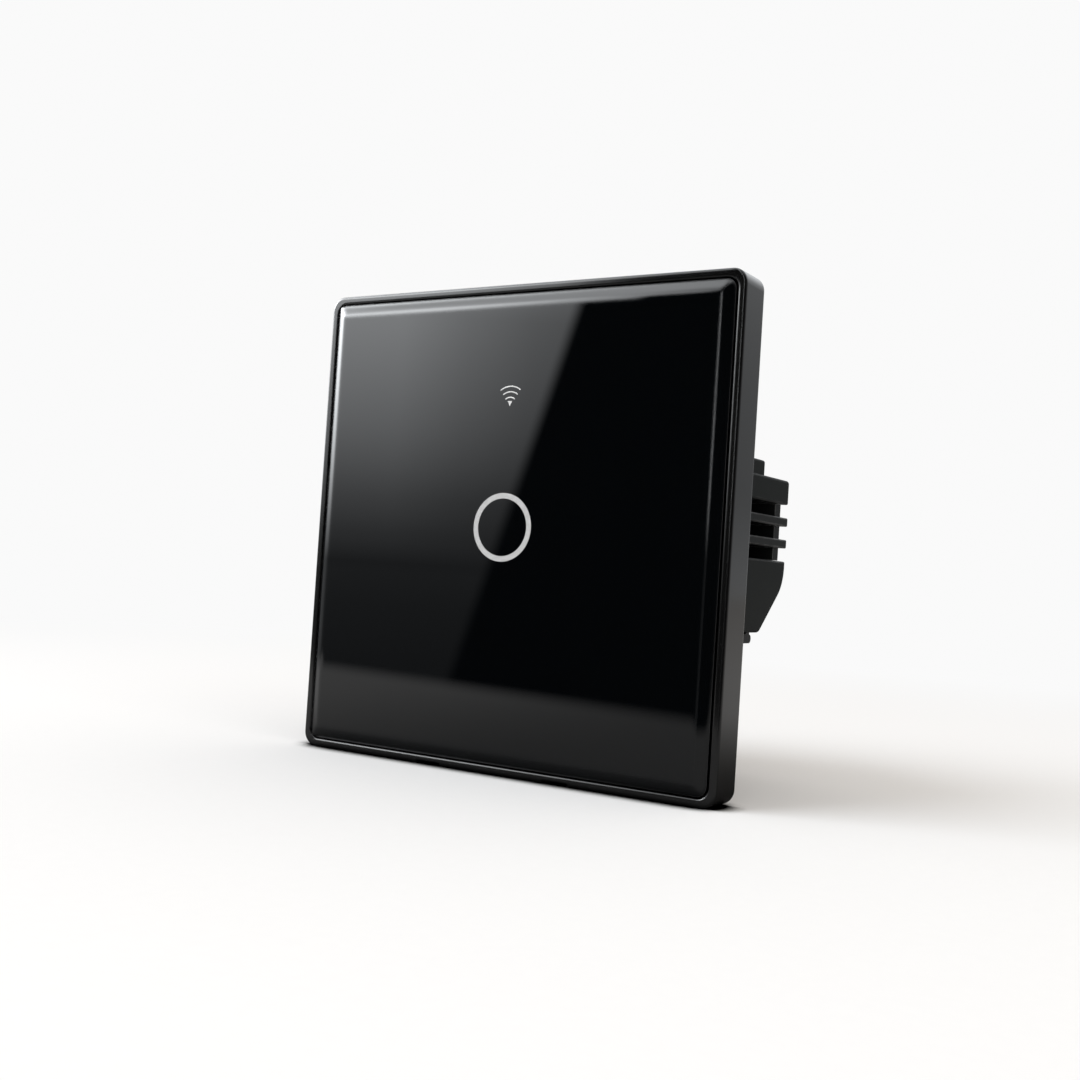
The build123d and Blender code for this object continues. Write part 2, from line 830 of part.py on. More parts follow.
def make_housing():
    main = prism(RectangleRounded(box_w, box_h, box_corner_r), seat_pad_t, housing_depth)
    main = fillet(main.edges().group_by(Axis.Y)[-1], box_rear_r)
    inner_r = box_corner_r - housing_wall
    shell = main + make_wing()
    front_y = seat_pad_t - cut_over
    inner = prism(RectangleRounded(2 * inner_x, 2 * inner_z, inner_r), front_y, housing_depth - rear_wall)
    shell -= inner
    bay = (terminal_mid_z - bay_half - seat_gap, terminal_mid_z + bay_half + seat_gap)
    shell -= block((block_x - seat_gap, wing_inner_x), (front_y, housing_depth + cut_over), bay)
    shell -= window_cut()
    lower = side_prism(wing_profile(housing_wall), wing_root_x, wing_inner_x)
    lower &= block(
        (wing_root_x, wing_inner_x), (0, housing_depth), (wing_bottom_z, bay[0] - housing_wall)
    )
    shell -= lower
    shell -= block(
        (wing_root_x, wing_inner_x), (front_y, 2 * seat_pad_t),
        (wing_bottom_z + housing_wall, bay[0] - housing_wall),
    )
    lining = RectangleRounded(2 * inner_x + housing_wall, 2 * inner_z + housing_wall, inner_r)
    for x, z in corners(boss_x, boss_z):
        boss_end = housing_depth - rear_wall / 2
        shell += rod_y(boss_r, x, z, seat_pad_t, boss_end)
        step = rod_y(boss_r + boss_step_w, x, z, power_rear_y, boss_end)
        shell += step & prism(lining, 0, housing_depth)
        hole_end = -plate_t + housing_screw_l + housing_head_h
        shell -= rod_y(housing_screw_r + thread_gap, x, z, front_y, hole_end + cut_over)
    tooth_y = clip_arm_reach - clip_arm_t / 2
    arm_x = wing_x - clip_arm_inset - clip_arm_w / 2
    shell -= block(
        around(arm_x, clip_arm_w + 2 * seat_gap),
        (tooth_y - clip_tooth_l, tooth_y + seat_gap),
        (wing_bottom_z - cut_over, wing_bottom_z + clip_tooth_h + seat_gap),
    )
    return shell


# Terminal block, contact bars, cages and screws


def make_terminal_block():
    body = block(
        (block_x, wing_inner_x - seat_gap),
        (block_front_y, block_rear_y),
        (terminal_mid_z - bay_half, terminal_mid_z + bay_half),
    )
    window = around(terminal_mid_z, 2 * (window_half - seat_gap))
    body += block((neck_x, wing_x - lane_back_inset), (lane_rear_y, block_rear_y), window)
    for z in rib_zs:
        half = rib_t / 2
        rear = housing_depth - half
        rib = Pos((block_front_y + rear) / 2, z) * Rectangle(rear - block_front_y, rib_t)
        rib += Pos(rear, z) * Circle(half)
        fin = Pos((block_rear_y + rear) / 2, z) * Rectangle(rear - block_rear_y + rib_t, rib_t)
        fin += Pos(rear, z) * Circle(half)
        for outline, low_x in ((rib, neck_x), (fin, block_x)):
            bar = side_prism(outline, low_x, wing_x)
            body += chamfer(bar.faces().sort_by(Axis.X)[-1].edges(), rib_edge_c)
    for z in lane_zs:
        body -= block(
            (chamber_x, neck_x), (block_front_y + block_front_wall, chamber_rear_y), around(z, chamber_h)
        )
        body -= block((neck_x - cut_over, wing_x + cut_over), (lane_front_y, lane_rear_y), around(z, lane_h))
        body -= rod_y(wire_hole_r, wire_x, z, chamber_rear_y - cut_over, block_rear_y + cut_over)
        body -= block(
            (bar_foot_x - bar_t - seat_gap, bar_foot_x + seat_gap),
            (block_front_y - cut_over, block_front_y + block_front_wall + cut_over),
            around(z, bar_w + 2 * seat_gap),
        )
    return body


def make_contact_bar(z):
    """Brass strip: a pin through the power board, a step outwards and a tongue through the cage."""
    pin_end_y = power_y - bar_pin_over
    outline = Polyline(
        (bar_foot_x - bar_t, pin_end_y),
        (bar_foot_x, pin_end_y),
        (bar_foot_x, bar_foot_y),
        (bar_face_x, bar_foot_y),
        (bar_face_x, chamber_rear_y - seat_gap),
        (bar_back_x, chamber_rear_y - seat_gap),
        (bar_back_x, bar_foot_y + bar_t),
        (bar_foot_x - bar_t, bar_foot_y + bar_t),
        close=True,
    )
    return extrude(Plane.XY.offset(z - bar_w / 2) * make_face(outline), bar_w)


def make_clamp_cage(z):
    y_span = around(cage_y, cage_l)
    cage = block((jaw_back_x, nut_back_x), y_span, around(z, cage_h))
    cage = fillet(cage.edges().filter_by(Axis.Y), cage_side_t / 2)
    cage -= block(
        (jaw_face_x, nut_face_x),
        (y_span[0] - cut_over, y_span[1] + cut_over),
        around(z, cage_h - 2 * cage_side_t),
    )
    return cage - rod_x(clamp_screw_r + thread_gap, cage_y, z, nut_face_x - cut_over, nut_back_x + cut_over)


def make_clamp_screw(z):
    shank = rod_x(clamp_screw_r, cage_y, z, clamp_tip_x, clamp_head_x)
    head = rod_x(clamp_head_r, cage_y, z, clamp_head_x, clamp_top_x)
    slot = block(
        (clamp_top_x - clamp_slot_d, clamp_top_x + cut_over),
        around(cage_y, 2 * clamp_head_r + cut_over),
        around(z, clamp_slot_w),
    )
    return head + shank - slot


# Fasteners


def make_housing_screws():
    pattern = screw(housing_head_r, housing_head_h, housing_screw_r, housing_screw_l)
    seats = corners(boss_x, boss_z)
    return Compound(children=[placed(pattern, x, housing_head_y, z, (0, -1, 0)) for x, z in seats])


def make_cover_screws():
    pattern = screw(cover_head_r, cover_head_h, cover_screw_r, cover_screw_l)
    seat_y = cover_rear_y - cover_t + cover_head_h
    seats = [(-cover_screw_x, 0), (cover_screw_x, 0)]
    return Compound(children=[placed(pattern, x, seat_y, z, (0, -1, 0)) for x, z in seats])


def make_board_screws():
    pattern = screw(board_head_r, board_head_h, board_screw_r, board_screw_l)
    seats = corners(post_x, post_z)
    return Compound(children=[placed(pattern, x, control_rear_y, z, (0, 1, 0)) for x, z in seats])


# Build and write every piece


def build():
    ring, sign, sign_parts = make_print()
    pieces = {
        "glass_panel": make_glass(ring, sign_parts),
        "touch_ring": ring,
        "wireless_symbol": sign,
        "glass_adhesive": make_adhesive(),
        "panel_frame": make_frame(),
        "base_plate": make_base_plate(),
        "inner_cover": make_cover(),
        "light_guide": make_light_guide(),
        "touch_spring": make_spring(),
        "control_board": make_control_board(),
        "status_leds": make_leds(),
        "touch_chip": make_chip(),
        "wireless_module": make_radio(),
        "shield_can": make_can(),
        "header_pins": make_header_pins(),
        "header_socket": make_header_socket(),
        "power_board": make_power_board(),
        "relay": make_relay(),
        "transformer_core": make_core(),
        "transformer_winding": make_winding(),
        "input_capacitor": make_capacitor(input_cap_r, input_cap_h, input_cap_x, input_cap_z),
        "output_capacitor": make_capacitor(output_cap_r, output_cap_h, output_cap_x, output_cap_z),
        "bridge_rectifier": stood(bridge_w, bridge_d, bridge_h, bridge_x, bridge_z),
        "fuse_resistor": make_fuse(),
        "varistor": make_varistor(),
        "rear_housing": make_housing(),
        "terminal_block": make_terminal_block(),
        "housing_screws": make_housing_screws(),
        "cover_screws": make_cover_screws(),
        "board_screws": make_board_screws(),
    }
    for number, z in enumerate(reversed(lane_zs), start=1):
        pieces[f"contact_bar_{number}"] = make_contact_bar(z)
        pieces[f"clamp_cage_{number}"] = make_clamp_cage(z)
        pieces[f"clamp_screw_{number}"] = make_clamp_screw(z)
    return pieces


os.makedirs("parts", exist_ok=True)
for name, piece in build().items():
    export_step(piece, f"parts/{name}.step")
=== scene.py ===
import json
from math import asin, atan2, cos, degrees, radians, sin

import bmesh
import bpy
from mathutils import Matrix, Vector


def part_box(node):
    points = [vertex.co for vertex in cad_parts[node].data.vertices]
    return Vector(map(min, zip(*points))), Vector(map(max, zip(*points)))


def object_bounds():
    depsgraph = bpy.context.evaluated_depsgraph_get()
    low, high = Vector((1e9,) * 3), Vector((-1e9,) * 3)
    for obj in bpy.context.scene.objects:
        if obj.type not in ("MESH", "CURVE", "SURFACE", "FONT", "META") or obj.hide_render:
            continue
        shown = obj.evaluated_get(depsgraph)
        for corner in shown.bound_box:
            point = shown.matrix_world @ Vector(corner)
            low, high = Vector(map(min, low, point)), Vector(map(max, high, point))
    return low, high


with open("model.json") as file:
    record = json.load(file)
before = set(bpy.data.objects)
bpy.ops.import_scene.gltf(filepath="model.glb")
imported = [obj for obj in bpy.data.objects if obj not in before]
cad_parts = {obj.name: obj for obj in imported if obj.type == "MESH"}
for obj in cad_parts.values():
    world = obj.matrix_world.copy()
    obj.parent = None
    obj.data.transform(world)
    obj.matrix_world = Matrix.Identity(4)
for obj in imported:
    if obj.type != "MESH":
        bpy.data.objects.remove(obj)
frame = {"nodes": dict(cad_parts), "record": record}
cad_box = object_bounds()

MM = 0.001
up = Vector((0, 0, 1))

# The photograph's camera, and the marks in its reflections, in pixels of its 1080 x 1080 frame
photo_side = 1080
photo_focal = 1305.5
sensor_w = 36.0
camera_place = Vector((126.97, -196.67, -7.82)) * MM
camera_yaw = radians(32.22)
camera_pitch = radians(-1.519)
camera_roll = radians(3.666)
camera_near = 5 * MM
camera_far = 50.0
window_edge_top = (585, 297)  # where the mirrored window ends on the right
window_edge_low = (463, 649)

# The glass's front plane, its flat face inside the bevel, and how far the step between them is softened
bevel_w = 1.93 * MM
glass_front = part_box("glass_panel")[0].y
glass_face_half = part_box("glass_panel")[1].x - bevel_w
glass_soft_edge = 1.4 * MM
glass_soft_start = 3 * MM
glass_soft_end = 2 * MM

# Glass finish and print
glass_ior = 1.5
glass_tone = (0.0006, 0.0009, 0.0012)
glass_wiped_tone = (0.0009, 0.0012, 0.0016)
glass_rough = 0.012
wipe_rough = 0.02
wipe_size = 14 * MM
wipe_stretch = (1, 1, 0.35)
wipe_span = (0.58, 0.8)
wave_size = 30 * MM
wave_depth = 0.004 * MM
arris_w = 0.14 * MM
arris_rough = 0.3
# lighter tone of the ground arrises, which also paints a highlight line along each edge
arris_and_highlight_tone = (0.05, 0.05, 0.05)
screen_pitch = 0.12 * MM
screen_depth = 0.004 * MM
ink_patch = 0.8 * MM

# Mouldings
cloud_size = 9 * MM
cloud_rough = 0.1
grain_rough = 0.08
grain_shades = (0.82, 1.18)
dust_size = 0.5 * MM
dust_span = (0.74, 0.8)
dust_share = 0.05
rub_size = 2.5 * MM
rub_span = (0.35, 0.7)
rub_polish = 0.1
# brighter edge tone: rubbed wear and a painted highlight
rub_and_highlight_tone = (0.11, 0.11, 0.11)

# Metals
line_size = 0.05 * MM
line_depth = 0.002 * MM
line_rough = 0.14
patch_size = 1.6 * MM
patch_span = (0.3, 0.65)
patch_rough = 0.12
worn_edge_w = 0.1 * MM
worn_share = 0.5

# Boards and windings
track_pitch = 3.2 * MM
track_span = (0.05, 0.08)
track_share = 0.75
track_depth = 0.03 * MM
weave_turn = 9000  # radians in each metre of glass weave
weave_span = (0.2, 1.0)
weave_share = 0.3
tape_lap = 1.3 * MM
tape_depth = 0.03 * MM
tape_seam_span = (0.86, 1.0)

# Floor: its own tone, and the shares of it that polished faces mirror, a painted darker reflection with
# painted shade close behind the object
floor_side = 12.0
floor_grey = 0.88
backdrop_white = 0.955
floor_fade_start = 0.10
floor_fade_end = 0.42
# painted contact shadow: ambient occlusion darkens the floor's colour close to the object
contact_reach = 6 * MM
contact_span = (0.5, 0.85)  # how open a spot is where the contact shadow starts and ends
contact_span_mirrored = (0.1, 1.0)
behind_span = (-0.02, 0.0)  # from the front of the glass to the floor behind it
mirrored_left = 0.74
mirrored_drop = 0.33  # how much darker it is mirrored from the middle on
mirrored_drop_span = (-0.13, 0.0)
# painted shade in reflections of the floor close behind the object, by distance from the middle
mirrored_behind_stops = ((0.045, 0.09), (0.07, 0.17), (0.12, 0.4), (0.17, 0.6), (0.3, 0.65))
mirrored_end_slope = 0.184  # the mirrored floor's front edge runs askew
mirrored_end_span = (0.104, 0.147)
mirrored_left_end_span = (0.2, 0.3)

# World and lamps
sky_level = 0.74
sky_tint = (1.05, 1.0, 0.945)
key_tint = (0.93, 1.0, 1.08)
frame_middle = (0, 0, 0)
key_place = (-0.75, -0.75, 0.95)
key_side = 1.0
key_power = 11.2
fill_place = (0.9, -0.5, 0.5)
fill_side = 0.8
fill_power = 2.0

# Surround that polished faces mirror: levels over bearing and height, in degrees
surround_r = 4.0
mirror_tint = (0.975, 1.0, 1.025)
room_level = 0.01
window_soft_span = (-0.3, 0.5)
window_height_stops = (
    (0, 0.0), (1.4, 0.35), (3.7, 1.2), (6.3, 2.3), (8.9, 3.3), (11.5, 4.3), (15, 9.0),
    (20, 14.0), (25, 13.5), (30, 10.0), (36, 6.5), (42, 4.0), (50, 3.5), (65, 1.0),
)
window_bearing_stops = (
    (-94, 0.0), (-89, 2.4), (-80, 2.8), (-73, 2.4), (-66, 1.8), (-57, 1.1), (-39, 1.0),
    (-36, 0.7), (-33, 0.48), (-29, 0.3),
)
window_foot_stops = ((-4.5, 0.12), (-2, 0.16), (-0.5, 0.21), (1, 0.18), (3, 0.0))
ceiling_level = 1.2
ceiling_span = (35, 65)
backdrop_stops = (
    (-7, 0.66), (-3, 0.64), (-1, 0.58), (4, 0.36), (9, 0.41), (12, 0.5), (22, 1.0), (38, 2.2), (60, 1.4),
)
backdrop_span = (-0.3, 0.4)
strip_level = 9.0
strip_bearing = -8
strip_half_w = 2.4
strip_soft_span = (0.2, 1.4)
strip_foot = 0.08  # share of the strip's light that is left below its foot
strip_foot_span = (1.0, 4.0)


def camera_axes():
    """The camera's right, up and forward directions."""
    forward = Vector((
        -sin(camera_yaw) * cos(camera_pitch), cos(camera_yaw) * cos(camera_pitch), -sin(camera_pitch)
    ))
    level = forward.cross(up).normalized()
    upright = level.cross(forward)
    right = level * cos(camera_roll) + upright * sin(camera_roll)
    return right, upright * cos(camera_roll) - level * sin(camera_roll), forward


def make_camera():
    right, above, forward = camera_axes()
    data = bpy.data.cameras.new("camera")
    data.sensor_width = sensor_w
    data.lens = photo_focal * sensor_w / photo_side
    data.clip_start = camera_near
    data.clip_end = camera_far
    camera = bpy.data.objects.new("camera", data)
    axes = Matrix((right, above, -forward)).transposed()
    camera.matrix_world = Matrix.Translation(camera_place) @ axes.to_4x4()
    bpy.context.scene.collection.objects.link(camera)
    bpy.context.scene.camera = camera


def mirrored_ray(pixel):
    """Where the camera's ray through a pixel meets the glass, and where it goes from there."""
    right, above, forward = camera_axes()
    across, down = pixel[0] - photo_side / 2, pixel[1] - photo_side / 2
    ray = (forward * photo_focal + right * across - above * down).normalized()
    point = camera_place + ray * ((glass_front - camera_place.y) / ray.y)
    return point, Vector((ray.x, -ray.y, ray.z))


# Shader sums and nodes


class Value:
    """A shader socket that takes part in sums: each operator adds the Math node that works it out."""

    def __init__(self, paint, socket):
        self.paint = paint
        self.socket = socket

    def __add__(self, other):
        return self.paint.math("ADD", self, other)

    def __radd__(self, other):
        return self.paint.math("ADD", other, self)

    def __sub__(self, other):
        return self.paint.math("SUBTRACT", self, other)

    def __rsub__(self, other):
        return self.paint.math("SUBTRACT", other, self)

    def __mul__(self, other):
        return self.paint.math("MULTIPLY", self, other)

    def __rmul__(self, other):
        return self.paint.math("MULTIPLY", other, self)

    def __truediv__(self, other):
        return self.paint.math("DIVIDE", self, other)

    def __abs__(self):
        return self.paint.math("ABSOLUTE", self)


class Paint:
    """A node tree and the ways in which nodes are added to it."""

    def __init__(self, tree):
        self.tree = tree
        tree.nodes.clear()

    def add(self, kind, settings=None, sockets=None, output=0):
        """Add a node: its settings first, then the values or links of its sockets. Returns one output."""
        node = self.tree.nodes.new(kind)
        for key, value in (settings or {}).items():
            if key == "stops":
                self.set_stops(node.color_ramp, value)
            else:
                setattr(node, key, value)
        for key, value in (sockets or {}).items():
            if isinstance(value, Value):
                self.tree.links.new(value.socket, node.inputs[key])
            else:
                node.inputs[key].default_value = value
        return Value(self, node.outputs[output]) if node.outputs else None

    @staticmethod
    def set_stops(ramp, stops):
        while len(ramp.elements) < len(stops):
            ramp.elements.new(1.0)
        for element, (place, tone) in zip(ramp.elements, stops):
            element.position = place
            element.color = (tone, tone, tone, 1)

    def math(self, operation, *values):
        sockets = {place: value for place, value in enumerate(values)}
        return self.add("ShaderNodeMath", {"operation": operation}, sockets)

    def step(self, value, low, high):
        """0 below low, 1 above high and smooth between them."""
        sockets = {"Value": value, "From Min": low, "From Max": high}
        settings = {"interpolation_type": "SMOOTHSTEP"}
        return self.add("ShaderNodeMapRange", settings, sockets)

    def ramp(self, value, *stops):
        return self.add("ShaderNodeValToRGB", {"stops": stops}, {"Fac": value})

    def curve(self, value, *stops):
        """Level along a broken line through stops of (place, level), held beyond both its ends."""
        first, last = stops[0][0], stops[-1][0]
        peak = max(level for place, level in stops)
        shares = [((place - first) / (last - first), level / peak) for place, level in stops]
        share = self.add("ShaderNodeMapRange", None, {"Value": value, "From Min": first, "From Max": last})
        return self.ramp(share, *shares) * peak

    def mix(self, first, second, share):
        """A colour between two, by share."""
        sockets = {0: share, 6: opaque(first), 7: opaque(second)}
        return self.add("ShaderNodeMix", {"data_type": "RGBA"}, sockets, output=2)

    def blend(self, first, second, share):
        """A direction between two, by share."""
        sockets = {0: share, 4: first, 5: second}
        return self.add("ShaderNodeMix", {"data_type": "VECTOR"}, sockets, output=1)

    def place(self):
        """Where a point lies in its own object, in metres."""
        return self.add("ShaderNodeTexCoord", output="Object")

    def split(self, vector):
        axes = ("X", "Y", "Z")
        return [self.add("ShaderNodeSeparateXYZ", None, {"Vector": vector}, axis) for axis in axes]

    def stretched(self, stretch):
        return self.add("ShaderNodeVectorMath", {"operation": "MULTIPLY"}, {0: self.place(), 1: stretch})

    def noise(self, size, detail=2.0, stretch=(1, 1, 1)):
        """Cloudy pattern whose patches are about size across."""
        sockets = {"Vector": self.stretched(stretch), "Scale": 1 / size, "Detail": detail}
        return self.add("ShaderNodeTexNoise", None, sockets, "Fac")

    def cells(self, size, feature="F1"):
        sockets = {"Vector": self.place(), "Scale": 1 / size}
        return self.add("ShaderNodeTexVoronoi", {"feature": feature}, sockets, "Distance")

    def edges(self, radius):
        """About 1 on sharp edges and 0 elsewhere."""
        rounded = self.add("ShaderNodeBevel", {"samples": 4}, {"Radius": radius})
        flat = self.add("ShaderNodeNewGeometry", output="Normal")
        agree = self.add("ShaderNodeVectorMath", {"operation": "DOT_PRODUCT"}, {0: rounded, 1: flat}, "Value")
        return self.step(1 - agree, 0.01, 0.18)

    def bump(self, height, depth, normal=None):
        sockets = {"Height": height, "Distance": depth, "Strength": 1.0}
        if normal:
            sockets["Normal"] = normal
        return self.add("ShaderNodeBump", None, sockets)


def opaque(colour):
    if isinstance(colour, Value) or len(colour) == 4:
        return colour
    return (*colour, 1)


def grey(tone):
    return (tone, tone, tone)


def scaled(colour, share):
    return tuple(channel * share for channel in colour)


class Finish(Paint):
    """A material with one main shader."""

    def __init__(self, name):
        self.material = bpy.data.materials.new(name)
        self.material.use_nodes = True
        super().__init__(self.material.node_tree)

    def surface(self, colour, rough, normal=None, **others):
        """Principled shader; others are its uniform sockets, with spaces written as underscores."""
        sockets = {"Base Color": opaque(colour), "Roughness": rough}
        for key, value in others.items():
            sockets[key.replace("_", " ")] = value
        if normal:
            sockets["Normal"] = normal
        shader = self.add("ShaderNodeBsdfPrincipled", None, sockets)
        self.add("ShaderNodeOutputMaterial", None, {"Surface": shader})
        return self.material


# Front finishes


def black_glass(name):
    """Polished plate with a black back: sharp reflections, a faint waviness, a few wiped marks, a ground
    bevel that runs softly into the face, and fine satin arrises whose lighter tone is partly ground glass and
    partly a painted highlight line along each edge."""
    finish = Finish(name)
    x, _, z = finish.split(finish.place())
    wiped = finish.noise(wipe_size, 3.0, wipe_stretch)
    arris = finish.edges(arris_w)
    rough = glass_rough + wipe_rough * finish.step(wiped, *wipe_span) + arris_rough * arris
    soft = finish.add("ShaderNodeBevel", {"samples": 12}, {"Radius": glass_soft_edge})
    flat = finish.add("ShaderNodeNewGeometry", output="Normal")
    off_centre = finish.math("MAXIMUM", abs(x), abs(z))
    rim = finish.step(off_centre, glass_face_half - glass_soft_start, glass_face_half - glass_soft_end)
    normal = finish.blend(flat, soft, rim)
    waves = finish.bump(finish.noise(wave_size, 0.0), wave_depth, normal)
    tone = finish.mix(glass_tone, glass_wiped_tone, wiped)
    # painted highlight: the arrises' lighter tone, partly ground glass and partly a highlight line
    tone = finish.mix(tone, arris_and_highlight_tone, arris)
    return finish.surface(tone, rough, waves, IOR=glass_ior)


def screen_print(name, colour, rough):
    """Ink with the fine mesh that a screen leaves."""
    finish = Finish(name)
    mesh = finish.cells(screen_pitch)
    ink = finish.noise(ink_patch, 3.0)
    tone = finish.mix(scaled(colour, 0.86), colour, finish.step(ink, 0.3, 0.7))
    return finish.surface(tone, rough + 0.06 * ink, finish.bump(mesh, screen_depth))


def film(name, colour):
    finish = Finish(name)
    fibres = finish.noise(0.3 * MM, 4.0)
    return finish.surface(finish.mix(colour, scaled(colour, 1.6), fibres), 0.55 + 0.2 * fibres)


# Mouldings


def moulded(name, colour, rough, grain=0.16, depth=0.006, wear_and_highlight=0.35, rim=0.16, soft=0.0, **others):
    """Moulded plastic: spark-eroded grain, flow clouds and edges that are painted a little brighter, partly
    as rubbed wear and partly as a painted highlight. grain, depth, rim (the width of the brighter edges) and
    soft (the rounding of the edges) are in millimetres."""
    finish = Finish(name)
    grains = finish.noise(grain * MM, 3.0)
    clouds = finish.noise(cloud_size, 2.0)
    normal = finish.add("ShaderNodeBevel", {"samples": 12}, {"Radius": soft * MM}) if soft else None
    dust = finish.step(finish.noise(dust_size, 1.0), *dust_span)
    rubbed_and_highlit = finish.edges(rim * MM) * finish.step(finish.noise(rub_size, 3.0), *rub_span)
    dark, pale = [scaled(colour, shade) for shade in grain_shades]
    tone = finish.mix(dark, pale, grains)
    # painted highlight and rubbed wear: edges mixed towards a lighter grey
    tone = finish.mix(tone, rub_and_highlight_tone, rubbed_and_highlit * wear_and_highlight + dust * dust_share)
    level = rough + cloud_rough * (clouds - 0.5) + grain_rough * (grains - 0.5) - rub_polish * rubbed_and_highlit
    return finish.surface(tone, level, finish.bump(grains, depth * MM, normal), **others)


def clear_moulding(name):
    finish = Finish(name)
    frost = finish.noise(0.25 * MM, 3.0)
    normal = finish.bump(frost, 0.003 * MM)
    return finish.surface((0.84, 0.86, 0.87), 0.16 + 0.12 * frost, normal, IOR=1.49, Transmission_Weight=0.75)


# Metals


def drawn_metal(name, colour, rough, stretch, stain=0.15):
    """Plated or stamped metal: fine lines along one way, with dull patches."""
    finish = Finish(name)
    lines = finish.noise(line_size, 2.0, stretch)
    patches = finish.noise(patch_size, 4.0)
    worn = finish.edges(worn_edge_w)
    tone = finish.mix(scaled(colour, 1 - stain), colour, finish.step(patches, *patch_span))
    tone = finish.mix(tone, scaled(colour, 1.1), worn * worn_share)
    level = rough + line_rough * (lines - 0.5) + patch_rough * (patches - 0.5)
    return finish.surface(tone, level, finish.bump(lines, line_depth), Metallic=1.0)


def ferrite(name):
    finish = Finish(name)
    grit = finish.noise(0.2 * MM, 4.0)
    tone = finish.mix((0.035, 0.035, 0.038), (0.075, 0.075, 0.08), grit)
    return finish.surface(tone, 0.55 + 0.2 * grit, finish.bump(grit, 0.01 * MM), Metallic=0.3)


# Boards and what stands on them


def laminate(name, mask, copper):
    """Solder mask over copper: tracks show as lighter lines, with glass weave under them."""
    finish = Finish(name)
    x, _, z = finish.split(finish.place())
    tracks = finish.cells(track_pitch, "DISTANCE_TO_EDGE")
    track = 1 - finish.step(tracks, *track_span)
    weave = finish.math("SINE", x * weave_turn) * finish.math("SINE", z * weave_turn)
    tone = finish.mix(mask, copper, track * track_share)
    tone = finish.mix(tone, scaled(mask, 1.5), finish.step(weave, *weave_span) * weave_share)
    return finish.surface(tone, 0.32 + 0.1 * track, finish.bump(track, track_depth))


def dipped(name, colour, rough, orange_peel=0.6):
    """Coating that was dipped or shrunk on, with a soft unevenness."""
    finish = Finish(name)
    peel = finish.noise(orange_peel * MM, 2.0)
    tone = finish.mix(scaled(colour, 0.8), scaled(colour, 1.15), peel)
    return finish.surface(tone, rough + 0.1 * peel, finish.bump(peel, 0.02 * MM))


def wound_tape(name):
    """Yellow tape in laps, shiny, with the edge of each lap just showing."""
    finish = Finish(name)
    _, y, _ = finish.split(finish.place())
    lap = finish.math("PINGPONG", y, tape_lap) / tape_lap
    seam = finish.step(lap, *tape_seam_span)
    tone = finish.mix((0.72, 0.55, 0.05), (0.5, 0.36, 0.03), seam)
    return finish.surface(tone, 0.28 + 0.2 * seam, finish.bump(lap, tape_depth))


# Every slot's finish

finishes = {
    "glass_black": black_glass("glass_black"),
    "ring_print": screen_print("ring_print", grey(0.47), 0.35),
    "sign_print": screen_print("sign_print", grey(0.64), 0.35),
    "adhesive_film": film("adhesive_film", grey(0.01)),
    "frame_plastic": moulded("frame_plastic", grey(0.003), 0.11, depth=0.001, wear_and_highlight=0.05, soft=0.4),
    "plate_plastic": moulded("plate_plastic", grey(0.010), 0.42, wear_and_highlight=0.4, Specular_IOR_Level=0.12),
    "cover_plastic": moulded("cover_plastic", (0.024, 0.024, 0.025), 0.42),
    "guide_clear": clear_moulding("guide_clear"),
    "spring_steel": drawn_metal("spring_steel", (0.62, 0.60, 0.56), 0.25, (1, 1, 8)),
    "board_laminate": laminate("board_laminate", (0.012, 0.10, 0.045), (0.05, 0.26, 0.11)),
    "radio_laminate": laminate("radio_laminate", (0.01, 0.02, 0.10), (0.05, 0.09, 0.26)),
    "led_lens": dipped("led_lens", (0.86, 0.86, 0.74), 0.22),
    "chip_epoxy": moulded("chip_epoxy", grey(0.022), 0.55, 0.08),
    "can_steel": drawn_metal("can_steel", (0.68, 0.69, 0.70), 0.3, (8, 1, 1)),
    "header_plastic": moulded("header_plastic", grey(0.018), 0.45),
    "relay_case": moulded("relay_case", (0.02, 0.075, 0.30), 0.3, 0.3),
    "ferrite": ferrite("ferrite"),
    "winding_tape": wound_tape("winding_tape"),
    "capacitor_sleeve": dipped("capacitor_sleeve", (0.015, 0.017, 0.03), 0.2),
    "fuse_body": dipped("fuse_body", (0.10, 0.27, 0.16), 0.4, 0.3),
    "varistor_coat": dipped("varistor_coat", (0.03, 0.12, 0.42), 0.25),
    # housing and terminal plastics: strong edge tones, mostly a painted highlight along the block's edges and
    # rib ends, partly rubbed wear
    "housing_plastic": moulded("housing_plastic", (0.0085, 0.0098, 0.0096), 0.42, wear_and_highlight=0.6, rim=0.3,
                               Specular_IOR_Level=0.035),
    "terminal_plastic": moulded("terminal_plastic", (0.0075, 0.0083, 0.0082), 0.34, wear_and_highlight=1.8, rim=0.3,
                                Specular_IOR_Level=0.045),
    "contact_brass": drawn_metal("contact_brass", (0.80, 0.60, 0.28), 0.28, (1, 8, 1)),
    "cage_steel": drawn_metal("cage_steel", (0.62, 0.62, 0.60), 0.32, (1, 8, 1)),
    "screw_steel": drawn_metal("screw_steel", (0.66, 0.66, 0.63), 0.28, (8, 1, 1)),
}


def dress_nodes():
    """Give every CAD node the finish of its own slot."""
    for part in frame["record"]["subparts"]:
        mesh = frame["nodes"][part["node"]].data
        mesh.materials.clear()
        mesh.materials.append(finishes[part["material_slot"]])


# Studio


def link(name, data):
    thing = bpy.data.objects.new(name, data)
    bpy.context.scene.collection.objects.link(thing)
    return thing


def flat_mesh(name, corners):
    """One face through the corners, in metres."""
    shape = bmesh.new()
    shape.faces.new([shape.verts.new(corner) for corner in corners])
    mesh = bpy.data.meshes.new(name)
    shape.to_mesh(mesh)
    shape.free()
    return mesh


def square(half_w, half_h):
    return [(-half_w, -half_h, 0), (half_w, -half_h, 0), (half_w, half_h, 0), (-half_w, half_h, 0)]


